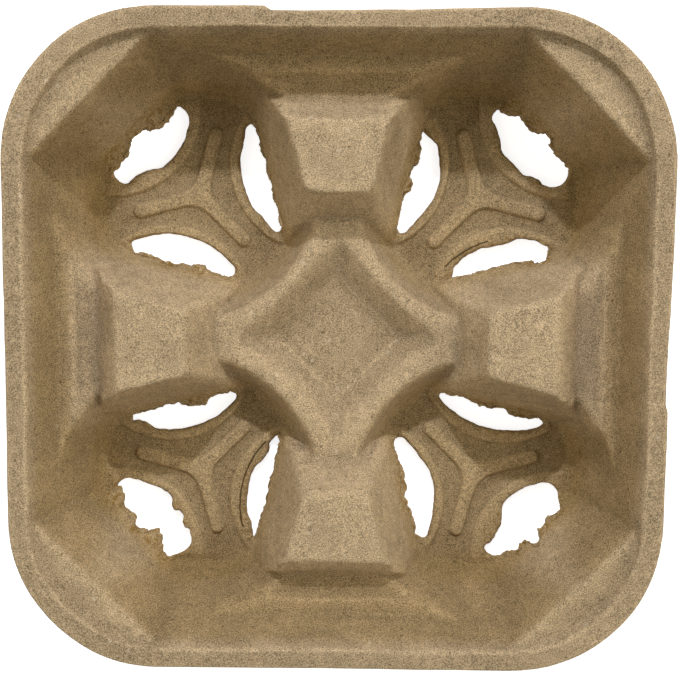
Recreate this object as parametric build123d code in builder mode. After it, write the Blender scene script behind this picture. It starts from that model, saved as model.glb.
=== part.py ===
"""Moulded pulp carrier tray for four cups, in millimetres, +Z up.

The tray is one even wall of pressed pulp, open at the top.  Its upper face is the boundary of the open
space above it.  That space is built twice, once as it is and once grown by the wall all round, and the
tray is the second less the first, with a flat rim.  The origin is the centre of the resting plane.
"""
from build123d import *
import os
from math import atan2, cos, degrees, radians, sin, sqrt, tan

# Whole tray
width = 210
height = 45
wall = 2
draft = 19.8

# Flat rim, and the small step down inside it that widens to a shelf at each corner
rim_width = 7
corner_radius = 48
rim_bevel = 0.6
shelf_depth = 3
shelf_draft = 10

# Flat facet across each inner corner, measured from the tray's axis at rim height
facet_reach = 111.4
facet_draft = 17

# Round pockets, whose cones just bite into the side walls
pocket_radius = 34.9
pocket_bite = 0.6

# Saddles between neighbouring pockets: the plateau's height above the resting plane, and the steps up to
# the land behind each post and to the ledge along the wall
plateau_height = 22
land_rise = 4.5
land_width = 8
ledge_rise = 2
saddle_bevel = 1.2

# Posts that stand on the saddles, and the shoulder on their outer side
post_height = 37
post_length = 22.9
post_inner_width = 21.3
post_outer_width = 32.2
post_setback = 26.4
post_inner_draft = 27
post_corner_radius = 3.5
post_edge_radius = 1.2
shoulder_height = 33
shoulder_width = 4.7

# Diamond recess in the middle: its corners reach out along the saddles, and its edges bow in at the waist
recess_depth = 8
recess_reach = 36.5
recess_waist = 23.6
recess_corner_radius = 4
recess_floor_reach = 20.5
recess_floor_radius = 2

# Slots, three to a pocket: each is bowed towards the pocket's middle, and its straight side bites into the
# foot of a post or of a corner facet
slot_near = 15.7
post_slot_radius = 33
post_slot_bite = 0.5
post_slot_tip_radius = 2
corner_slot_radius = 26
corner_slot_bite = 0.2
corner_slot_tip_radius = 5

# Raised lips round the slots, about centres beyond them
lip_reach = 42.5
lip_radius = 30.5
lip_height = 0.9

# Ribs of the three-armed star in each pocket floor
rib_length = 21.75
rib_width = 4.6
rib_height = 1

# How far shapes run past the faces that trim them
overrun = 5


def lean(rise, angle):
    """Return how far a face at this draft moves sideways over a rise."""
    return rise * tan(radians(angle))


def shift(skin, angle):
    """Return the sideways step, at a level lowered by the skin, of a drafted face moved by the skin."""
    return skin * (1 - sin(radians(angle))) / cos(radians(angle))


# Places that follow from the sizes above
rim_inner = width / 2 - rim_width
shelf_height = height - shelf_depth
land_height = plateau_height + land_rise
ledge_height = land_height + ledge_rise
shelf_inner = rim_inner - lean(shelf_depth, shelf_draft)
wall_foot = shelf_inner - lean(shelf_height - wall, draft)
facet_foot = facet_reach - lean(height - wall, facet_draft)
pocket_offset = wall_foot - pocket_radius + pocket_bite
pocket_distance = pocket_offset * sqrt(2)
post_outer = rim_inner - post_setback
post_inner = post_outer - post_length
post_middle = post_outer - post_length / 2
post_splay = (post_outer_width - post_inner_width) / 2 / post_length
post_slant = sqrt(1 + post_splay**2)
land_inner = post_outer + shoulder_width + lean(shoulder_height - land_height, draft)
recess_slope = degrees(atan2(recess_waist - recess_floor_reach / sqrt(2), recess_depth))
slot_rise = plateau_height - recess_depth
sides = 4
side_turn = 360 / sides
slots_per_pocket = 3
slot_turn = 360 / slots_per_pocket


def post_half_width(radius, drop):
    """Return half the post's width at this distance from the tray's axis and this far below its top."""
    return post_inner_width / 2 + (radius - post_inner) * post_splay + lean(drop, draft) * post_slant


post_foot_gap = (pocket_offset - post_half_width(pocket_offset, post_height - wall)) / post_slant
post_slot_edge = post_foot_gap + post_slot_bite
corner_slot_edge = facet_foot - pocket_distance + corner_slot_bite


def make_saddles(skin):
    """Build the cross of saddles that divides the pockets, lowered and thinned by the skin."""
    floor = wall - skin
    step = shift(skin, draft)
    cone_radius = pocket_radius + step
    cone_height = ledge_height + overrun - floor
    land_outer = land_inner + land_width + step
    with BuildPart() as saddles:
        for side in range(sides):
            with BuildSketch(Plane.XZ.rotated((0, 0, side * side_turn)).offset(-pocket_offset)):
                with BuildLine():
                    Polyline(
                        (0, -overrun),
                        (0, plateau_height - skin),
                        (post_middle, plateau_height - skin),
                        (post_middle, land_height - skin),
                        (land_outer, land_height - skin),
                        (land_outer + lean(ledge_height - land_height, draft), ledge_height - skin),
                        (width / 2, ledge_height - skin),
                        (width / 2, -overrun),
                        close=True,
                    )
                make_face()
            extrude(amount=2 * pocket_offset)
        with Locations((0, 0, floor + cone_height / 2)):
            with GridLocations(2 * pocket_offset, 2 * pocket_offset, 2, 2):
                Cone(cone_radius, cone_radius + lean(cone_height, draft), cone_height, mode=Mode.SUBTRACT)
        if not skin:
            brinks = saddles.edges().filter_by(GeomType.CIRCLE).group_by(Axis.Z)
            chamfer(brinks[1] + brinks[2], saddle_bevel)
    return saddles.part


def make_post(skin):
    """Build one splayed post with its shoulder, on the +X side, lowered and thinned by the skin."""
    step = shift(skin, draft)
    inner_step = shift(skin, post_inner_draft)
    top = post_height - skin
    shoulder = shoulder_height - skin
    inner_top = post_inner + inner_step
    inner_foot = inner_top - lean(top, post_inner_draft)
    outer_top = post_outer - step
    shoulder_outer = post_outer + shoulder_width - step
    near = inner_foot - overrun
    far = width / 2 + overrun
    near_half = post_half_width(near, top) - step * post_slant
    far_half = post_half_width(far, top) - step * post_slant
    with BuildPart() as post:
        with BuildSketch():
            with BuildLine():
                Polyline((near, -near_half), (far, -far_half), (far, far_half), (near, near_half), close=True)
            make_face()
        extrude(amount=top, taper=draft)
        with BuildSketch(Plane.XZ.offset(-width / 2)):
            with BuildLine():
                Polyline(
                    (inner_foot, 0),
                    (inner_top, top),
                    (outer_top, top),
                    (outer_top + lean(top - shoulder, draft), shoulder),
                    (shoulder_outer, shoulder),
                    (shoulder_outer + lean(shoulder, draft), 0),
                    close=True,
                )
            make_face()
        extrude(amount=width, mode=Mode.INTERSECT)
        if not skin:
            inner_face = post.faces().sort_by(Axis.X)[0]
            fillet(inner_face.edges().filter_by(Plane.XY, reverse=True), post_corner_radius)
            top_face = post.faces().sort_by(Axis.Z)[-1]
            fillet(top_face.edges(), post_edge_radius)
    return post.part


def make_recess(skin):
    """Build the open space of the diamond recess, grown by the skin."""
    step = shift(skin, recess_slope)
    reach = recess_reach + step * sqrt(2)
    waist = (recess_waist + step) / sqrt(2)
    floor_reach = recess_floor_reach + step * sqrt(2)
    with BuildPart() as recess:
        with BuildSketch(Plane.XY.offset(plateau_height - recess_depth - skin)) as recess_floor:
            with BuildLine():
                Polyline((floor_reach, 0), (0, floor_reach), (-floor_reach, 0), (0, -floor_reach), close=True)
            make_face()
            fillet(recess_floor.vertices(), recess_floor_radius)
        with BuildSketch(Plane.XY.offset(plateau_height - skin)) as recess_mouth:
            with BuildLine():
                ThreePointArc((reach, 0), (waist, waist), (0, reach))
                ThreePointArc((0, reach), (-waist, waist), (-reach, 0))
                ThreePointArc((-reach, 0), (-waist, -waist), (0, -reach))
                ThreePointArc((0, -reach), (waist, -waist), (reach, 0))
            make_face()
            fillet(recess_mouth.vertices(), recess_corner_radius)
        loft()
    return recess.part


def make_space(skin, top):
    """Build the open space above the tray, grown by the skin and cut off level at the top."""
    floor = wall - skin
    wall_half = wall_foot + shift(skin, draft)
    facet_half = facet_foot + shift(skin, facet_draft)
    shelf_half = shelf_inner + shift(skin, shelf_draft)
    saddles = make_saddles(skin)
    post = make_post(skin)
    recess = make_recess(skin)
    with BuildPart() as space:
        with BuildSketch(Plane.XY.offset(floor)):
            Rectangle(2 * wall_half, 2 * wall_half)
        extrude(amount=top - floor, taper=-draft)
        with BuildSketch(Plane.XY.offset(floor)):
            Rectangle(2 * facet_half, 2 * facet_half, rotation=side_turn / 2)
        extrude(amount=top - floor, taper=-facet_draft, mode=Mode.INTERSECT)
        with BuildSketch(Plane.XY.offset(shelf_height - skin)):
            RectangleRounded(2 * shelf_half, 2 * shelf_half, corner_radius - rim_width)
        extrude(amount=top - shelf_height + skin, taper=-shelf_draft)
        add(saddles, mode=Mode.SUBTRACT)
        with PolarLocations(0, sides):
            add(post, mode=Mode.SUBTRACT)
        with BuildSketch():
            with PolarLocations(pocket_distance, sides, start_angle=side_turn / 2):
                with PolarLocations(lip_reach, slots_per_pocket):
                    Circle(lip_radius - skin)
        extrude(amount=floor + lip_height, mode=Mode.SUBTRACT)
        add(recess)
    return space.part


def make_rim():
    """Build the flat rim plate with its upper edge bevelled."""
    with BuildPart() as rim:
        with BuildSketch(Plane.XY.offset(height - wall)):
            RectangleRounded(width, width, corner_radius)
        extrude(amount=wall)
        chamfer(rim.edges().group_by(Axis.Z)[-1], rim_bevel)
    return rim.part


def make_slot(radius, straight_edge, tip_radius):
    """Draw one slot outwards along +X from its pocket's middle."""
    with BuildSketch() as slot:
        with Locations((slot_near + radius, 0)):
            Circle(radius)
        with Locations((straight_edge, 0)):
            Rectangle(2 * radius, 2 * radius, align=(Align.MIN, Align.CENTER), mode=Mode.SUBTRACT)
        fillet(slot.vertices(), tip_radius)
    return slot.sketch


inside = make_space(0, height + overrun)
outside = make_space(wall, height)
rim_plate = make_rim()
corner_slot = make_slot(corner_slot_radius, corner_slot_edge, corner_slot_tip_radius)
post_slot = make_slot(post_slot_radius, post_slot_edge, post_slot_tip_radius)

with BuildPart() as cup_carrier:
    add(outside)
    add(rim_plate)
    add(inside, mode=Mode.SUBTRACT)
    with BuildSketch():
        with PolarLocations(pocket_distance, sides, start_angle=side_turn / 2):
            add(corner_slot)
            with PolarLocations(0, slots_per_pocket - 1, slot_turn, slot_turn, endpoint=True):
                add(post_slot)
    extrude(amount=slot_rise, mode=Mode.SUBTRACT)
    with BuildSketch(Plane.XY.offset(wall)):
        with PolarLocations(pocket_distance, sides, start_angle=side_turn / 2):
            with PolarLocations(rib_length / 2, slots_per_pocket, start_angle=slot_turn / 2):
                SlotOverall(rib_length + rib_width, rib_width)
    extrude(amount=rib_height)

os.makedirs("parts", exist_ok=True)
cup_carrier.part.label = "cup_carrier"
export_step(cup_carrier.part, "parts/cup_carrier.step")
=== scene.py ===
# %% [markdown]
# # A moulded pulp cup carrier
#
# The real tray is one shell of paper pulp, drawn wet onto a wire mould, pressed and dried. It has no joints
# and no added pieces, so everything that makes it look real is in the shell itself: edges that are soft all
# over, walls that are never quite flat, slots that tear open raggedly, and a felt of fibres on every face.
# The solid from the CAD step gives the true form. This lesson loads it as a fixed frame, works a copy of it
# until it looks like pulp, and then gives it its finish.

# %% Load the frame
from math import radians

import bpy
import numpy as np
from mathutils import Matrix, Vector


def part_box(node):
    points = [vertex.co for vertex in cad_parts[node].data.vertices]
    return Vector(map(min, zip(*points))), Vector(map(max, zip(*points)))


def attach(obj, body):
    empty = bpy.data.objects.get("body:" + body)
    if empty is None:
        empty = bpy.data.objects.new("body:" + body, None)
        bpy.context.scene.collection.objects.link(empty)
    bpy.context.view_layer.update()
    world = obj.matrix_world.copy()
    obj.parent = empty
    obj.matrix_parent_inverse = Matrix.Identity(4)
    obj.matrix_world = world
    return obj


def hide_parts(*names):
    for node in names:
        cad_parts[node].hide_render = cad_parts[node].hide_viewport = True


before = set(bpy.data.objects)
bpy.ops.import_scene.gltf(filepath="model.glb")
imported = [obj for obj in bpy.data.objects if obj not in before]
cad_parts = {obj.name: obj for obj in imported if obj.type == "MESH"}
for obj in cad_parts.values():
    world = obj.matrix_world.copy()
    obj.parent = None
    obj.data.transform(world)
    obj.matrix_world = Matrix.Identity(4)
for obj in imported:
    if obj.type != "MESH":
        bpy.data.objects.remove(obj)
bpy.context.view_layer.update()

mm = 0.001

# %% [markdown]
# ## The shell
#
# The solid has the crisp edges of a machined block. Bevelling each of them would leave a tidy moulded
# plastic part, because a bevel has one width and stops at corners. Wet pulp rounds every edge by itself and
# runs together in the corners. A remesh does the same: it lays an even skin of small quads over the shape,
# and smoothing that skin then softens all edges and corners together. The solid's own mesh stays as it is,
# and the work is done on a copy, whose loose triangles are first merged at their corners.

# %% Copy the solid and merge its corners
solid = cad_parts["cup_carrier"]
bpy.ops.object.select_all(action="DESELECT")
tray = bpy.data.objects.new("pulp_tray", solid.data.copy())
bpy.context.scene.collection.objects.link(tray)
tray.data.materials.clear()
tray.select_set(True)
bpy.context.view_layer.objects.active = tray
bpy.ops.object.mode_set(mode="EDIT")
bpy.ops.mesh.select_all(action="SELECT")
bpy.ops.mesh.remove_doubles(threshold=0.01 * mm)
bpy.ops.object.mode_set(mode="OBJECT")
print("merged copy", len(tray.data.vertices), "corners")


# %% Lay an even skin over it
def work_pulp(kind, title, **settings):
    """Give the tray a modifier with these settings and apply it."""
    modifier = tray.modifiers.new(title, kind)
    for setting, value in settings.items():
        setattr(modifier, setting, value)
    bpy.ops.object.modifier_apply(modifier=title)
    print(title, len(tray.data.vertices), "vertices")


skin_square = 0.8
work_pulp("REMESH", "even skin", mode="VOXEL", voxel_size=skin_square * mm)


# %% [markdown]
# ## Where the slots, ribs and lips are
#
# Each pocket floor has three slots that are punched and torn through the wet sheet, a low lip round each
# slot, and a star of three ribs between them. They need their own treatment, so the script has to know
# which vertices lie near them. Picking vertices by hand is not possible on a skin this fine. But the slots
# repeat, three to a pocket in four pockets, so a few sizes from the CAD step place them all: a slot is a
# disc about a centre beyond the pocket's middle, cut off straight along the foot of a post or of a corner
# facet.

# %% Helpers for the skin's points
def tray_points():
    """Return the tray's vertices in millimetres, one row each."""
    points = np.empty(3 * len(tray.data.vertices))
    tray.data.vertices.foreach_get("co", points)
    return points.reshape(-1, 3) / mm


def move_points(points):
    """Set the tray's vertices from rows in millimetres."""
    tray.data.vertices.foreach_set("co", (points * mm).ravel())
    tray.data.update()


def fade(values, near, far):
    """Return 1 up to the near value, falling smoothly to 0 at the far one."""
    share = np.clip((far - values) / (far - near), 0, 1)
    return share * share * (3 - 2 * share)


def weigh(title, weights):
    """Store one weight for each vertex in a vertex group."""
    group = tray.vertex_groups.get(title) or tray.vertex_groups.new(name=title)
    for index, weight in enumerate(weights):
        group.add((index,), float(weight), "REPLACE")


# %% Measure the distance from the slots
pocket_offset = 48.77
slot_near = 15.7
post_slot_radius = 33.0
post_slot_edge = 24.96
corner_slot_radius = 26.0
corner_slot_edge = 29.48
post_tip_radius = 4.7
corner_tip_radius = 11.0
slot_top = 9.0
far_away = 1000.0
slots = [(pocket, third) for pocket in range(4) for third in range(3)]


def pocket_middle(pocket):
    """Return the middle of a pocket, seen from above."""
    corner = radians(45 + 90 * pocket)
    return pocket_offset * np.sqrt(2) * np.array((np.cos(corner), np.sin(corner)))


def from_pocket(points, pocket, third):
    """Return how far each point lies out from a pocket's middle towards a slot, and how far across."""
    turn = radians(45 + 90 * pocket) + radians(120 * third)
    plan = points[:, :2] - pocket_middle(pocket)
    out = plan @ np.array((np.cos(turn), np.sin(turn)))
    across = plan @ np.array((-np.sin(turn), np.cos(turn)))
    return out, across


def slot_sides(points, pocket, third):
    """Return how far each point is outside the slot's straight side and outside its bowed side."""
    out, across = from_pocket(points, pocket, third)
    edge = post_slot_edge if third else corner_slot_edge
    radius = post_slot_radius if third else corner_slot_radius
    straight = out - edge
    bowed = np.hypot(out - slot_near - radius, across) - radius
    return straight, bowed


def slot_distance(points):
    """Return how far outside the nearest slot each point is, below 0 within it."""
    nearest = np.full(len(points), far_away)
    for pocket, third in slots:
        straight, bowed = slot_sides(points, pocket, third)
        tip = post_tip_radius if third else corner_tip_radius
        deep = np.minimum(np.maximum(straight, bowed), -tip)
        outside = np.hypot(np.maximum(straight + tip, 0), np.maximum(bowed + tip, 0))
        nearest = np.minimum(nearest, deep + outside)
    nearest[points[:, 2] > slot_top] = far_away
    return nearest


print("vertices by the slots", int((slot_distance(tray_points()) < 2).sum()))

# %% Measure the distance from the edges of ribs and lips
rib_length = 21.75
rib_half_width = 2.3
lip_reach = 42.5
lip_radius = 30.5
floor_top = 5.0


def step_distance(points):
    """Return how far each point on a pocket floor is from the edge of the nearest rib or lip."""
    nearest = np.full(len(points), far_away)
    for pocket, third in slots:
        out, across = from_pocket(points, pocket, third)
        lip = np.abs(np.hypot(out - lip_reach, across) - lip_radius)
        out, across = from_pocket(points, pocket, third + 0.5)
        rib = np.abs(np.hypot(out - np.clip(out, 0, rib_length), across) - rib_half_width)
        nearest = np.minimum(nearest, np.minimum(lip, rib))
    nearest[points[:, 2] > floor_top] = far_away
    return nearest


print("vertices by ribs and lips", int((step_distance(tray_points()) < 1).sum()))


# %% Measure the distance from the rim's outer edge
solid_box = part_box("cup_carrier")
half = solid_box[1][0] / mm
high = solid_box[1][2] / mm
corner_radius = 48.0
straight_half = half - corner_radius


def rim_distance(points):
    """Return how far inside the rim's outer edge each point is, seen from above."""
    beyond = np.maximum(np.abs(points[:, :2]) - straight_half, 0)
    return corner_radius - np.hypot(beyond[:, 0], beyond[:, 1])


print("vertices by the rim's edge", int((rim_distance(tray_points()) < 1).sum()))

# %% Give the edges of slots, ribs and lips a finer skin
slot_band = 2.2
step_band = 1.0
points = tray_points()
fine_places = (slot_distance(points) < slot_band) | (step_distance(points) < step_band)
bpy.ops.object.mode_set(mode="EDIT")
bpy.ops.mesh.select_all(action="DESELECT")
bpy.ops.object.mode_set(mode="OBJECT")
tray.data.vertices.foreach_set("select", fine_places)
bpy.ops.object.mode_set(mode="EDIT")
bpy.ops.mesh.select_mode(type="VERT")
bpy.ops.mesh.subdivide(number_cuts=1)
bpy.ops.object.mode_set(mode="OBJECT")
print("finer skin", len(tray.data.vertices), "vertices")

# %% [markdown]
# ## Sloping ends of the posts
#
# Each post falls in one slope to the land, the flat behind it, where the solid has a shoulder with two
# small steps. The post is hollow underneath, so the points of both faces of its wall are raised or lowered
# together, by how far the slope is above or below the steps at that distance from the middle.

# %% Slope the ends
step_reaches = (71.6, 73.0, 76.3, 78.6, 79.6)
slope_rises = (0.0, 1.9, -2.3, 0.9, 0.0)
post_sides = (18.5, 21)
post_foot = (20, 23)
points = tray_points()
for along, beside in ((0, 1), (1, 0)):
    rise = np.interp(np.abs(points[:, along]), step_reaches, slope_rises)
    rise *= fade(np.abs(points[:, beside]), *post_sides) * (1 - fade(points[:, 2], *post_foot))
    points[:, 2] += rise
move_points(points)
print("posts' ends moved by up to", max(slope_rises), "mm up and", min(slope_rises), "mm down")

# %% [markdown]
# ## Soft edges
#
# Smoothing moves each vertex towards the middle of its neighbours, which wears edges down much as pressing
# wet pulp does. It would also eat the thin outer edge of the rim, the torn edges of the slots and the low
# steps of ribs and lips, which the mould presses quite sharply, so a vertex group holds those back. The
# ridge round the middle recess, the feet of the pockets' walls and the corners are drawn further and come
# out rounder, so they get a second pass.

# %% Soften all edges but the thin and the low ones
slot_hold = 0.85
rim_hold = 0.9
step_hold = 0.94
points = tray_points()
softness = 1 - slot_hold * fade(slot_distance(points), 0.4, 2.4)
softness *= 1 - rim_hold * fade(rim_distance(points), 0.8, 2.5)
softness *= 1 - step_hold * fade(step_distance(points), 0.9, 2.2)
weigh("softness", softness)
work_pulp("SMOOTH", "soft edges", factor=0.5, iterations=4, vertex_group="softness")

# %% Round the ridge, the pockets' feet and the corners further
ridge_share = 0.10
corner_share = 0.25
foot_share = 0.5
pocket_foot = 35.0
points = tray_points()
from_axis = np.hypot(points[:, 0], points[:, 1])
sideways = np.abs(points[:, :2]).max(axis=1)
ridge = fade(from_axis, 40, 48) * (1 - fade(points[:, 2], 15, 18))
into_corner = np.abs(points[:, :2]).min(axis=1)
corners = (1 - fade(into_corner, 48, 54)) * (1 - fade(points[:, 2], 14, 22))
corners *= 1 - fade(rim_distance(points), 2, 5)
foot = np.zeros(len(points))
for pocket in range(4):
    from_middle = np.hypot(*from_pocket(points, pocket, 0))
    foot = np.maximum(foot, fade(np.abs(from_middle - pocket_foot), 2, 6))
foot *= fade(points[:, 2], 7, 12) * (1 - fade(slot_distance(points), 2.5, 5)) * fade(sideways, 60, 70)
weigh("roundness", np.maximum.reduce((ridge_share * ridge, corner_share * corners, foot_share * foot)))
work_pulp("SMOOTH", "rounder forms", factor=0.5, iterations=30, vertex_group="roundness")

# %% [markdown]
# ## Uneven walls
#
# A dried shell is never flat: walls bow, flats dip and the rim wanders a little. One displacement along the
# normals would thicken some places and thin others. A coloured noise that moves points along X, Y and Z at
# once bends both faces of the wall together and keeps its thickness.

# %% Bend the walls a little
drying = bpy.data.textures.new("drying", "CLOUDS")
drying.cloud_type = "COLOR"
drying.noise_scale = 26 * mm
drying.noise_depth = 2
bend = 1.5
foot_hold = 0.75
edge_hold = 0.6
points = tray_points()
slack = 1 - foot_hold * fade(points[:, 2], 0.3, 4)
slack *= 1 - edge_hold * fade(rim_distance(points), 1, 8)
weigh("slack", slack)
work_pulp("DISPLACE", "uneven walls", texture=drying, texture_coords="LOCAL", direction="RGB_TO_XYZ",
          mid_level=0.5, strength=bend * mm, vertex_group="slack")

# %% [markdown]
# ## Ribs and lips
#
# The recess in the middle has a flat floor with a thin bead along its edges. The bead is raised first. The
# star of ribs and the lips round the slots are only a millimetre high, and the skin's squares blur them.
# The mould presses them crisply, and they catch the light in thin dark lines. Their outlines are known, so
# the upper face of each floor is set to its level again, with a short steep step along each outline.

# %% Raise the bead round the recess floor
floor_reach = 20.5
bead_height = 0.45
bead_half = (0.2, 1.2)
points = tray_points()
off_edge = (np.abs(points[:, 0]) + np.abs(points[:, 1]) - floor_reach) / np.sqrt(2)
points[:, 2] += bead_height * fade(np.abs(off_edge), *bead_half)
move_points(points)
print("bead", bead_height, "mm high")

# %% Press the ribs and lips again
floor_level = 2.0
rib_height = 1.25
lip_height = 1.3
step_half = 0.55
rib_blend = 1.4
pocket_reach = 33.5
points = tray_points()
normals = np.empty(3 * len(points))
tray.data.vertices.foreach_get("normal", normals)
faces_up = normals.reshape(-1, 3)[:, 2] > 0.25
for pocket in range(4):
    level = np.zeros(len(points))
    nearness = np.zeros(len(points))
    for third in range(3):
        out, across = from_pocket(points, pocket, third)
        lip = np.hypot(out - lip_reach, across) - lip_radius
        level = np.maximum(level, lip_height * fade(lip, -step_half, step_half))
        out, across = from_pocket(points, pocket, third + 0.5)
        nearness += np.exp(-np.hypot(out - np.clip(out, 0, rib_length), across) / rib_blend)
    star = -rib_blend * np.log(np.maximum(nearness, 1e-9)) - rib_half_width
    level = np.maximum(level, rib_height * fade(star, -step_half, step_half))
    from_middle = np.hypot(*from_pocket(points, pocket, 0))
    share = fade(from_middle, pocket_reach - 3, pocket_reach) * (slot_distance(points) > 0.4)
    share *= faces_up & (points[:, 2] < 4.5)
    points[:, 2] += share * (floor_level + level - points[:, 2])
move_points(points)
print("points on the floors", int((points[:, 2] > floor_level + 0.5).sum()))

# %% [markdown]
# ## Torn slots
#
# The slots are punched and then torn, so no two are alike. Here the sheet hung on and leaves a tongue,
# there it gave way into the wall. Modelling twelve different slots would be slow and stiff. It is easier to
# pull the even ones about: each pull names a slot, one of its sides, a place along it, a length and an
# amount outwards from the pocket's middle. On the bowed side only the sheet moves. On the straight side a
# pull inwards draws a tongue from the foot of the wall, and a pull outwards opens the wall upwards. A fine
# noise in a narrow band then frays the edges, most of all along the straight sides.

# %% Find the band that frays
points = tray_points()
ragged = np.zeros(len(points))
for pocket, third in slots:
    straight, bowed = slot_sides(points, pocket, third)
    ragged = np.maximum(ragged, fade(np.abs(straight), 0.6, 2.0) * fade(bowed, -1, 0.5))
torn = fade(slot_distance(points), 0.4, 1.6) * (0.25 + 0.75 * ragged)
weigh("torn", torn)
print("vertices that fray", int((torn > 0.1).sum()))

# %% List the pulls
NE, NW, SW, SE = range(4)
to_corner, first_post, second_post = range(3)
bowed_side, straight_side = "bowed", "straight"
pulls = [
    (NE, to_corner, bowed_side, -9, 3, 1.5),
    (NE, to_corner, bowed_side, 0, 5, 1.0),
    (NE, to_corner, bowed_side, 11, 5, 2.0),
    (NE, to_corner, straight_side, -1.5, 2.5, 2.7),
    (NE, to_corner, straight_side, 5, 2.5, -1.0),
    (NE, to_corner, straight_side, 14, 3, -3.0),
    (NW, to_corner, bowed_side, 9, 5, 2.2),
    (NW, to_corner, straight_side, 11, 5, -2.5),
    (NW, to_corner, straight_side, 1, 2.5, 0.8),
    (NW, to_corner, straight_side, -9, 6, -3.5),
    (SW, to_corner, bowed_side, -3, 4, -1.0),
    (SW, to_corner, bowed_side, 3, 2, 1.4),
    (SW, to_corner, bowed_side, 10, 2, 1.4),
    (SW, to_corner, straight_side, -14, 3, -3.0),
    (SW, to_corner, straight_side, -1, 2.5, 1.8),
    (SW, to_corner, straight_side, 6, 3, -2.4),
    (SW, to_corner, straight_side, 13, 3, 1.8),
    (SE, to_corner, bowed_side, -9, 7, 4.4),
    (SE, to_corner, straight_side, 11, 4, 2.0),
    (SE, to_corner, straight_side, 4, 3, 2.6),
    (SE, to_corner, straight_side, -1, 2.5, 5.0),
    (SE, to_corner, straight_side, -7, 4, 2.0),
    (NE, first_post, bowed_side, 1, 9, -1.2),
    (NE, first_post, bowed_side, -18, 3.5, 4.5),
    (NE, first_post, straight_side, -8, 4, -2.0),
    (NE, first_post, straight_side, 3, 2.5, -1.5),
    (NE, second_post, bowed_side, 2, 7, 2.0),
    (NE, second_post, bowed_side, -8, 4, 1.6),
    (NE, second_post, bowed_side, -14, 3, 2.5),
    (NE, second_post, bowed_side, -18, 3, 4.5),
    (NE, second_post, straight_side, 16, 3, 3.0),
    (NE, second_post, straight_side, 12, 4, 1.5),
    (NW, first_post, bowed_side, 0, 14, -0.5),
    (NW, first_post, straight_side, -5, 4, 1.0),
    (NW, first_post, straight_side, 6, 3, -1.3),
    (NW, second_post, bowed_side, 14, 4, 0.8),
    (NW, second_post, bowed_side, -14, 4, 0.8),
    (SW, first_post, bowed_side, 0, 22, 2.3),
    (SW, first_post, bowed_side, 11, 4, 1.6),
    (SW, first_post, bowed_side, -16, 4, 1.6),
    (SW, second_post, bowed_side, 16, 3, 2.0),
    (SW, second_post, straight_side, -5, 5, -2.5),
    (SE, first_post, bowed_side, 0, 22, 0.9),
    (SE, first_post, straight_side, -10, 5, -2.0),
    (SE, first_post, straight_side, 3, 4, -1.5),
    (SE, second_post, bowed_side, -1, 7, -1.0),
    (SE, second_post, straight_side, 4, 4, 1.2),
    (SE, second_post, straight_side, -3, 4, -0.8),
]
sheet_reach = 3.6
tongue_reach = 5.0
wall_lean = 0.33
seen_share = 0.6


# %% Pull the slots about
def pull_shift(start, pocket, third, side, place, length, amount):
    """Return how far one pull moves each of the starting points."""
    straight, bowed = slot_sides(start, pocket, third)
    across = from_pocket(start, pocket, third)[1]
    turn = radians(45 + 90 * pocket + 120 * third)
    outward = np.array((np.cos(turn), np.sin(turn), 0))
    share = fade(np.abs(across - place), 0.35 * length, 1.35 * length)
    if side == bowed_side:
        share = share * fade(np.abs(bowed), 0.3, sheet_reach) * fade(straight, -3, -1)
        share = share * fade(start[:, 2], 4, 6)
        return amount * share[:, None] * outward
    up_wall = np.hypot(straight, start[:, 2] - 2)
    in_wall = fade(np.abs(straight - wall_lean * start[:, 2]), 4, 6) * fade(bowed, 0, 3)
    if amount < 0:
        share = share * in_wall * fade(up_wall, 1, tongue_reach) * fade(start[:, 2], 3, 7)
        return amount * share[:, None] * outward
    climb = amount / seen_share
    share = share * in_wall * fade(up_wall, 1, 6 + 1.8 * climb)
    return climb * share[:, None] * (wall_lean * outward + np.array((0, 0, 1)))


start = tray_points()
shift = np.zeros_like(start)
for pull in pulls:
    shift += pull_shift(start, *pull)
move_points(start + shift)
print("pulls", len(pulls), "greatest move", round(float(np.abs(shift).max()), 2), "mm")

# %% Fray the edges
tearing = bpy.data.textures.new("tearing", "CLOUDS")
tearing.cloud_type = "COLOR"
tearing.noise_scale = 2.6 * mm
tearing.noise_depth = 4
fray = 2.8
work_pulp("DISPLACE", "torn edges", texture=tearing, texture_coords="LOCAL", direction="RGB_TO_XYZ",
          mid_level=0.5, strength=fray * mm, vertex_group="torn")

# %% [markdown]
# ## Back to size
#
# Softening has drawn the thin edge of the rim in by a little. The rim is the tray's full width, so its edge
# is moved back out to the solid's, by as much as it lost. The trimming was not quite straight: the far edge
# and the right one each have a small step, where the edge is moved in again. The skin is then thinned to a
# sensible count.

# %% Move the rim's edge back out and thin the skin
points = tray_points()
beyond = np.maximum(np.abs(points[:, :2]) - straight_half, 0)
outward = np.sign(points[:, :2]) * beyond / np.maximum(np.hypot(beyond[:, 0], beyond[:, 1]), 1)[:, None]
lost = np.percentile(rim_distance(points)[points[:, 2] > high - 2.5], 1)
print("rim drawn in by", round(float(lost), 2), "mm")
far_step = 1.3
right_step = 0.7
at_edge = 90
wander = np.full(len(points), lost)
far_edge = points[:, 1] > at_edge
wander -= far_edge * (1 - fade(points[:, 0], -23, -20.5)) * fade(points[:, 0], -10, 75) * far_step
right_edge = points[:, 0] > at_edge
wander -= right_edge * (1 - fade(points[:, 1], -20, -17)) * fade(points[:, 1], -5, 30) * right_step
points[:, :2] += outward * (wander * fade(rim_distance(points), 1.5, 7))[:, None]
move_points(points)
triangles = sum(len(face.vertices) - 2 for face in tray.data.polygons)
most_triangles = 190000
work_pulp("DECIMATE", "thinner skin", ratio=min(1, most_triangles / triangles), vertex_group="torn",
          invert_vertex_group=True, vertex_group_factor=2)
points = tray_points()
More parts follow.
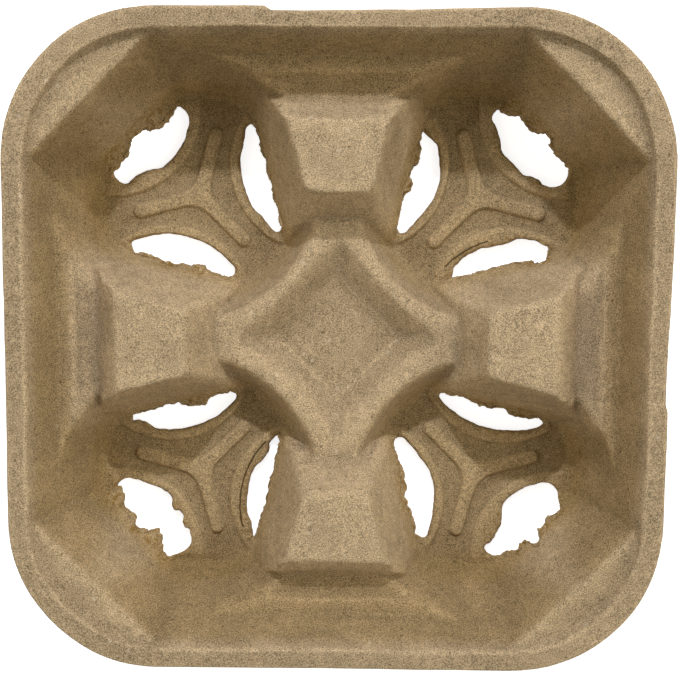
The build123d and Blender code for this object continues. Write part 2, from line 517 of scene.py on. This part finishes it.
points[:, 0] = np.clip(points[:, 0], -half, half)
points[:, 1] = np.clip(points[:, 1], -half, half)
points[:, 2] = np.clip(points[:, 2], 0, high)
move_points(points)
bpy.ops.object.shade_smooth()
print("triangles", sum(len(face.vertices) - 2 for face in tray.data.polygons))


# %% [markdown]
# ## Notes for the finish
#
# The walls of the tray are given painted shade, darker and browner than the lamp and the dome make them,
# the pocket floors a painted warm shade that makes them yellower, and torn fibres are stained. How much of
# that is in the pulp and how much is light is not known, so the tones are set by eye. A pattern in the
# material can't know where in the tray a place is, so each of these is noted as a value on the skin's
# points, which the material reads.

# %% Note painted shade on deep walls and pocket floors, and torn fibres
def note_on_points(title, values):
    """Store one value for each vertex, for the finish to read."""
    note = tray.data.attributes.new(title, "FLOAT", "POINT")
    note.data.foreach_set("value", np.asarray(values, dtype=np.float32))


sideways = np.abs(points[:, :2]).max(axis=1)
side_lands = fade(np.abs(np.abs(points[:, 0]) - 82), 5, 8) * fade(np.abs(points[:, 1]), 24, 36)
# Painted shade: points below the rim inside the side walls, but not on the side lands, are noted for a
# darker, browner colour.
drawn = (1 - fade(sideways, 74, 84)) * fade(points[:, 2], 39, 43)
note_on_points("painted_wall_shade", drawn * (1 - side_lands))
# Painted warm shade: the low points of the pockets are noted for a yellower colour.
note_on_points("painted_pocket_shade", fade(points[:, 2], 8, 15))
torn_places = np.zeros(len(points))
for pocket, third, side, place, length, amount in pulls:
    out, across = from_pocket(points, pocket, third)
    edge = (post_slot_edge if third else corner_slot_edge) + 1
    if side == straight_side:
        near_place = fade(np.hypot((across - place) / (length + 2), (out - edge) / 4), 0.3, 1.1)
        torn_places = np.maximum(torn_places, near_place)
slot_edges = 0.6 * fade(slot_distance(points), 0.2, 1.6)
note_on_points("torn_fibre", np.maximum(torn_places, slot_edges) * fade(points[:, 2], 8, 13))
print("notes", [note.name for note in tray.data.attributes if note.data_type == "FLOAT"])

# %% [markdown]
# ## Painted light on edges, painted shade in creases
#
# Pulp edges are given a painted highlight and its creases a painted shade. How far a point stands out from
# the mean of the skin round it tells which it is: points on an edge stand out, points in a crease stand
# back. The skin is averaged a few times for that, and the value is noted on the points. A few places then
# get a given tone of painted shade or light: the rim is darker, the lands on the left and right are paler,
# the end of the far post is darker, and pale lines run along the near half of the recess floor, with a
# darker band on the slope beside them.

# %% Note painted light on edges and painted shade in creases
edges = np.empty(2 * len(tray.data.edges), dtype=np.int32)
tray.data.edges.foreach_get("vertices", edges)
ends = edges.reshape(-1, 2)
neighbours = np.maximum(np.bincount(edges, minlength=len(points)), 1)


def mean_beside(values):
    """Return the mean of each point's neighbours, column by column."""
    columns = []
    for column in values.T:
        total = np.bincount(ends[:, 0], column[ends[:, 1]], len(points))
        total += np.bincount(ends[:, 1], column[ends[:, 0]], len(points))
        columns.append(total / neighbours)
    return np.stack(columns, axis=1)


normals = np.empty(3 * len(points), dtype=np.float32)
tray.data.vertex_normals.foreach_get("vector", normals)
near = mean_beside(points)
broad = near
averagings = 4
for averaging in range(averagings):
    broad = mean_beside(broad)
painted_light_and_shade = ((near - broad) * normals.reshape(-1, 3)).sum(axis=1)
print("edges up to", round(float(painted_light_and_shade.max()), 2), "mm, creases", round(float(painted_light_and_shade.min()), 2), "mm")

# %% Set the tones of painted shade and light
full_turn = 0.16
rim_painted_shade = 1.6
line_painted_highlight = 1.4
recess_painted_shade = 0.7
land_painted_light = 0.9
far_end_painted_shade = 1.5
land_middle = 82.5
far_end_middle = 73.4
slope_middle = 3.4
# Painted light and shade: edges paler, creases darker, painted shade on the rim, recess slope and far post
# end, painted light on the side lands and recess lines.
tone = painted_light_and_shade / full_turn
tone -= rim_painted_shade * fade(rim_distance(points), 6, 9) * (1 - fade(points[:, 2], 38, 41))
off_edge = (np.abs(points[:, 0]) + np.abs(points[:, 1]) - floor_reach) / np.sqrt(2)
near_half = fade(points[:, 1], -1, 1) * (1 - fade(points[:, 2], 10, 12))
tone += line_painted_highlight * near_half * fade(np.abs(off_edge), 0.4, 1.2)
tone -= recess_painted_shade * near_half * fade(np.abs(off_edge - slope_middle), 1.6, 2.8)
from_land = np.abs(np.abs(points[:, 0]) - land_middle)
tone += land_painted_light * fade(from_land, 3.5, 5) * fade(np.abs(points[:, 1]), 22, 34)
far_end = fade(np.abs(points[:, 1] - far_end_middle), 1.5, 2.3) * fade(np.abs(points[:, 0]), 15, 19)
tone -= far_end_painted_shade * far_end * (1 - fade(points[:, 2], 28, 31))
note_on_points("painted_light_and_shade", np.clip(tone, -1, 1))
print("tones from", round(float(tone.min()), 1), "to", round(float(tone.max()), 1))

# %% [markdown]
# ## The pulp's finish
#
# Pulp is a felt of short fibres. From a step away it is an even brown, and from nearby it is a fine grain
# of light and dark, with single fibres, dark specks of other paper and pale flecks. It is quite matt. All
# of it is noise on Object coordinates in millimetres, so that it runs through the shell and has no seams.
# The notes on the points lay stains, painted highlights on edges, and painted shade in creases, on the walls
# and, warm, on the pocket floors over it. Two slots have a thin crease beside them, where the sheet bent
# before it tore, and its shade is painted as dark lines drawn along the slots' arcs.

# %% Start the material and its coordinates
pulp = bpy.data.materials.new("moulded_pulp")
pulp.use_nodes = True
nodes = pulp.node_tree.nodes
links = pulp.node_tree.links
shader = nodes["Principled BSDF"]
shader.inputs["Roughness"].default_value = 0.95
shader.inputs["Specular IOR Level"].default_value = 0.1
place = nodes.new("ShaderNodeTexCoord")
in_mm = nodes.new("ShaderNodeMapping")
in_mm.inputs["Scale"].default_value = (1 / mm, 1 / mm, 1 / mm)
links.new(place.outputs["Object"], in_mm.inputs["Vector"])


def math(operation, first, second):
    """Join two values or sockets with a math node and return its output."""
    node = nodes.new("ShaderNodeMath")
    node.operation = operation
    for socket, value in zip(node.inputs, (first, second)):
        if isinstance(value, (int, float)):
            socket.default_value = value
        else:
            links.new(value, socket)
    return node.outputs[0]


def noise(size, detail=2.0, roughness=0.5, stretch=(1, 1, 1)):
    """Return a noise of features about this many millimetres in size, from 0 to 1."""
    node = nodes.new("ShaderNodeTexNoise")
    node.inputs["Scale"].default_value = 1 / size
    node.inputs["Detail"].default_value = detail
    node.inputs["Roughness"].default_value = roughness
    turned = nodes.new("ShaderNodeMapping")
    turned.inputs["Scale"].default_value = stretch
    links.new(in_mm.outputs[0], turned.inputs["Vector"])
    links.new(turned.outputs[0], node.inputs["Vector"])
    return node.outputs[0]


def ramp(value, low, high, bottom=0.0, top=1.0):
    """Map a value from one range to another, smoothly and without overshoot."""
    node = nodes.new("ShaderNodeMapRange")
    node.interpolation_type = "SMOOTHSTEP"
    for socket, setting in zip(("From Min", "From Max", "To Min", "To Max"), (low, high, bottom, top)):
        node.inputs[socket].default_value = setting
    links.new(value, node.inputs["Value"])
    return node.outputs[0]


# %% Felt, grain and fibres
mottle = noise(22, 2, 0.5)
felt = noise(3.2, 2, 0.55)
grain = noise(0.38, 2, 0.75)
fibre_field = noise(1.5, 1, 0.5)
fibre_gate = noise(2.4, 0, 0.5)
fibres = math("MULTIPLY", ramp(math("ABSOLUTE", math("SUBTRACT", fibre_field, 0.5), 0), 0.0, 0.025, 1, 0),
              ramp(fibre_gate, 0.5, 0.62))
dark_field = noise(1.9, 1, 0.5, (1, 1.3, 1))
dark_fibres = math("MULTIPLY", ramp(math("ABSOLUTE", math("SUBTRACT", dark_field, 0.52), 0), 0.0, 0.02, 1, 0),
                   ramp(fibre_gate, 0.38, 0.5, 1, 0))
shade = math("ADD", ramp(mottle, 0.3, 0.7, 0.95, 1.05), ramp(felt, 0.25, 0.75, -0.07, 0.07))
shade = math("ADD", shade, ramp(grain, 0.30, 0.70, -0.60, 0.60))
shade = math("ADD", shade, math("MULTIPLY", fibres, 0.16))
shade = math("SUBTRACT", shade, math("MULTIPLY", dark_fibres, 0.22))


# %% Specks and flecks
def flecks(size, share):
    """Return small round marks of this spacing in millimetres, on this share of their places."""
    cells = nodes.new("ShaderNodeTexVoronoi")
    cells.inputs["Scale"].default_value = 1 / size
    links.new(in_mm.outputs[0], cells.inputs["Vector"])
    chance = nodes.new("ShaderNodeSeparateColor")
    links.new(cells.outputs["Color"], chance.inputs[0])
    chosen = ramp(chance.outputs[0], share * 0.8, share, 1, 0)
    spot = ramp(cells.outputs["Distance"], 0.12, 0.34, 1, 0)
    return math("MULTIPLY", spot, chosen)


dark_specks = flecks(1.7, 0.10)
pale_flecks = flecks(2.9, 0.06)


# %% Mix the colours
def mix_colour(share, under, over):
    """Lay one colour over another by a share and return the mix."""
    node = nodes.new("ShaderNodeMix")
    node.data_type = "RGBA"
    node.clamp_factor = True
    links.new(share, node.inputs[0])
    for socket, value in ((node.inputs[6], under), (node.inputs[7], over)):
        if isinstance(value, tuple):
            socket.default_value = value
        else:
            links.new(value, socket)
    return node.outputs[2]


def scale_colour(colour, amount):
    """Make a colour lighter or darker by a factor and return it."""
    node = nodes.new("ShaderNodeVectorMath")
    node.operation = "SCALE"
    links.new(colour, node.inputs[0])
    links.new(amount, node.inputs["Scale"])
    return node.outputs[0]


dark_brown = (0.430, 0.316, 0.182, 1)
light_brown = (0.450, 0.330, 0.194, 1)
speck_colour = (0.10, 0.06, 0.03, 1)
fleck_colour = (0.68, 0.56, 0.40, 1)
graded = scale_colour(mix_colour(ramp(felt, 0.3, 0.7), dark_brown, light_brown), shade)
speckled = mix_colour(math("MULTIPLY", dark_specks, 0.6), graded, speck_colour)
flecked = mix_colour(math("MULTIPLY", pale_flecks, 0.45), speckled, fleck_colour)
print("colours mixed by", len(nodes), "nodes")


# %% Stain the torn fibres, and paint light on the edges and shade in the creases
def tray_note(title):
    """Return a value that was stored on the tray's points."""
    node = nodes.new("ShaderNodeAttribute")
    node.attribute_name = title
    return node.outputs["Fac"]


stain_colour = (0.26, 0.145, 0.028, 1)
# Painted light and shade: the noted value makes edges paler and creases, rim and other shaded places darker.
light_and_shade_painted = scale_colour(flecked, ramp(tray_note("painted_light_and_shade"), -1, 1, 0.86, 1.10))
stain = math("MULTIPLY", tray_note("torn_fibre"), ramp(noise(1.6, 2, 0.6), 0.45, 0.62))
stained = mix_colour(math("MULTIPLY", stain, 0.8), light_and_shade_painted, stain_colour)


# %% Paint the creases' shade as dark lines
def crease(centre, radius, start, end, width):
    """Return a thin line along an arc of the plan, in millimetres and degrees, wavering a little."""
    split = nodes.new("ShaderNodeSeparateXYZ")
    links.new(in_mm.outputs[0], split.inputs[0])
    across = math("SUBTRACT", split.outputs[0], centre[0])
    along = math("SUBTRACT", split.outputs[1], centre[1])
    reach = math("SQRT", math("ADD", math("MULTIPLY", across, across), math("MULTIPLY", along, along)), 0)
    waver = math("MULTIPLY", math("SUBTRACT", noise(3.0, 2, 0.6), 0.5), 0.9)
    off_line = math("ABSOLUTE", math("ADD", math("SUBTRACT", reach, radius), waver), 0)
    middle = radians((start + end) / 2)
    spread = np.cos(radians((end - start) / 2))
    toward = math("ADD", math("MULTIPLY", across, float(np.cos(middle))),
                  math("MULTIPLY", along, float(np.sin(middle))))
    facing = math("DIVIDE", toward, math("MAXIMUM", reach, 0.01))
    low = ramp(split.outputs[2], 6, 8, 1, 0)
    within = math("MULTIPLY", ramp(facing, float(spread), float(spread) + 0.01), low)
    return math("MULTIPLY", ramp(off_line, width * 0.4, width, 1, 0), within)


def slot_crease(pocket, third, start, end, width):
    """Return a crease along the bowed side of a slot, between two angles from its middle line."""
    turn = 45 + 90 * pocket + 120 * third
    reach = slot_near + post_slot_radius
    centre = pocket_middle(pocket) + reach * np.array((np.cos(radians(turn)), np.sin(radians(turn))))
    return crease(centre, post_slot_radius, turn + 180 + start, turn + 180 + end, width)


# Painted shade: each crease is a dark line standing in for the shade of the sheet's bend.
crease_width = 0.42
crease_shade_colour = (0.06, 0.035, 0.012, 1)
right_crease = slot_crease(NE, second_post, 0, 33, crease_width)
left_crease = slot_crease(SW, first_post, -30, 30, crease_width)
creases = math("MULTIPLY", math("MAXIMUM", right_crease, left_crease), 0.85)
creased = mix_colour(creases, stained, crease_shade_colour)


# %% Paint shade on the deep walls and the pocket floors
def tint_by(title, under, tint):
    """Multiply a colour by a tint as far as a value on the tray's points says, and return it."""
    node = nodes.new("ShaderNodeMix")
    node.data_type = "RGBA"
    node.blend_type = "MULTIPLY"
    node.inputs[7].default_value = tint
    links.new(tray_note(title), node.inputs[0])
    links.new(under, node.inputs[6])
    return node.outputs[2]


# Painted shade: the deep walls are made darker and browner.
wall_shade_tint = (0.80, 0.76, 0.64, 1)
# Painted warm shade: the pocket floors are made yellower.
pocket_shade_tint = (1, 0.975, 0.86, 1)
walls = tint_by("painted_wall_shade", creased, wall_shade_tint)
links.new(tint_by("painted_pocket_shade", walls, pocket_shade_tint), shader.inputs["Base Color"])
print("tints", wall_shade_tint, pocket_shade_tint)

# %% Raise the fibres
height = math("ADD", math("MULTIPLY", grain, 0.20), math("MULTIPLY", felt, 0.35))
height = math("ADD", height, math("MULTIPLY", fibres, 0.06))
raised = nodes.new("ShaderNodeBump")
raised.inputs["Strength"].default_value = 0.8
raised.inputs["Distance"].default_value = mm
links.new(height, raised.inputs["Height"])
links.new(raised.outputs[0], shader.inputs["Normal"])
tray.data.materials.append(pulp)
print("pulp has", len(nodes), "nodes")

# %% [markdown]
# ## Stage, light and camera
#
# The tray lies on a plain pale floor, which the camera sees as white, and which still takes the tray's
# shadow. One small lamp stands beyond the far side of the tray and throws the shadow of its wall into the
# pockets, with a crisp edge. The rest is a dome of light, a little warm, as a room with pale walls gives: a
# broad band halfway up, stronger on the right and on the left than on the near side, and dark overhead.

# %% Floor
bpy.ops.object.select_all(action="DESELECT")
bpy.ops.mesh.primitive_plane_add(size=6, location=(0, 0, 0))
floor = bpy.context.object
floor.name = "floor"
white = bpy.data.materials.new("pale_floor")
white.use_nodes = True
nodes = white.node_tree.nodes
links = white.node_tree.links
nodes.clear()
output = nodes.new("ShaderNodeOutputMaterial")
paint = nodes.new("ShaderNodeBsdfDiffuse")
paint.inputs["Color"].default_value = (0.8, 0.8, 0.8, 1)
glow = nodes.new("ShaderNodeEmission")
glow.inputs["Color"].default_value = (1, 1, 1, 1)
glow.inputs["Strength"].default_value = 0.82
both = nodes.new("ShaderNodeAddShader")
seen = nodes.new("ShaderNodeMixShader")
path = nodes.new("ShaderNodeLightPath")
links.new(paint.outputs[0], both.inputs[0])
links.new(glow.outputs[0], both.inputs[1])
links.new(path.outputs["Is Camera Ray"], seen.inputs[0])
links.new(paint.outputs[0], seen.inputs[1])
links.new(both.outputs[0], seen.inputs[2])
links.new(seen.outputs[0], output.inputs[0])
floor.data.materials.append(white)
print("floor", tuple(floor.dimensions))

# %% Dome of light
world = bpy.data.worlds.new("studio")
world.use_nodes = True
bpy.context.scene.world = world
nodes = world.node_tree.nodes
links = world.node_tree.links
dome = nodes["Background"]
dome.inputs["Color"].default_value = (1, 0.985, 0.90, 1)
way = nodes.new("ShaderNodeTexCoord")
split = nodes.new("ShaderNodeSeparateXYZ")
links.new(way.outputs["Generated"], split.inputs[0])
eastward, northward, upward = split.outputs
band = math("MULTIPLY", ramp(upward, 0.32, 0.52, 0.06, 1), ramp(upward, 0.66, 0.84, 1, 0.03))
lean = math("ADD", math("MULTIPLY", eastward, 0.55), math("MULTIPLY", northward, 0.62))
to_sides = math("MULTIPLY", eastward, eastward)
to_ends = math("MULTIPLY", northward, northward)
around = math("ADD", math("ADD", lean, math("SUBTRACT", to_sides, to_ends)), 1.74)
dome_strength = 0.98
links.new(math("MULTIPLY", math("MULTIPLY", band, around), dome_strength), dome.inputs["Strength"])
backdrop = nodes.new("ShaderNodeBackground")
backdrop.inputs["Color"].default_value = (1, 1, 1, 1)
backdrop.inputs["Strength"].default_value = 1
path = nodes.new("ShaderNodeLightPath")
straight_ray = math("MAXIMUM", path.outputs["Is Camera Ray"], path.outputs["Is Glossy Ray"])
clear_ray = math("MAXIMUM", straight_ray, path.outputs["Is Transmission Ray"])
seen = nodes.new("ShaderNodeMixShader")
links.new(clear_ray, seen.inputs[0])
links.new(dome.outputs[0], seen.inputs[1])
links.new(backdrop.outputs[0], seen.inputs[2])
links.new(seen.outputs[0], nodes["World Output"].inputs["Surface"])
print("dome strength", dome_strength)

# %% Lamp
lamp_distance = 1.2
lamp_way = Vector((0.03, 0.725, 0.69)).normalized()
bpy.ops.object.light_add(type="AREA", location=lamp_way * lamp_distance)
lamp = bpy.context.object
lamp.name = "lamp"
lamp.data.shape = "DISK"
lamp.data.size = 0.05
lamp.data.color = (1, 1.06, 1.27)
lamp.data.energy = 5.7
lamp.rotation_euler = lamp_way.to_track_quat("Z", "Y").to_euler()
print("lamp at", tuple(round(c, 3) for c in lamp.location))

# %% Camera
photo_width = 679
focal = 1044
bpy.ops.object.camera_add(location=(4.64 * mm, 34.32 * mm, 371.02 * mm),
                          rotation=(radians(-5.40), radians(0.68), radians(0.47)))
camera = bpy.context.object
camera.data.sensor_width = 36
camera.data.lens = focal * camera.data.sensor_width / photo_width
camera.data.clip_start = 10 * mm
bpy.context.scene.camera = camera
bpy.context.scene.view_settings.view_transform = "Standard"
print("lens", round(camera.data.lens, 2))

# %% Hand over
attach(tray, "root")
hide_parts("cup_carrier")
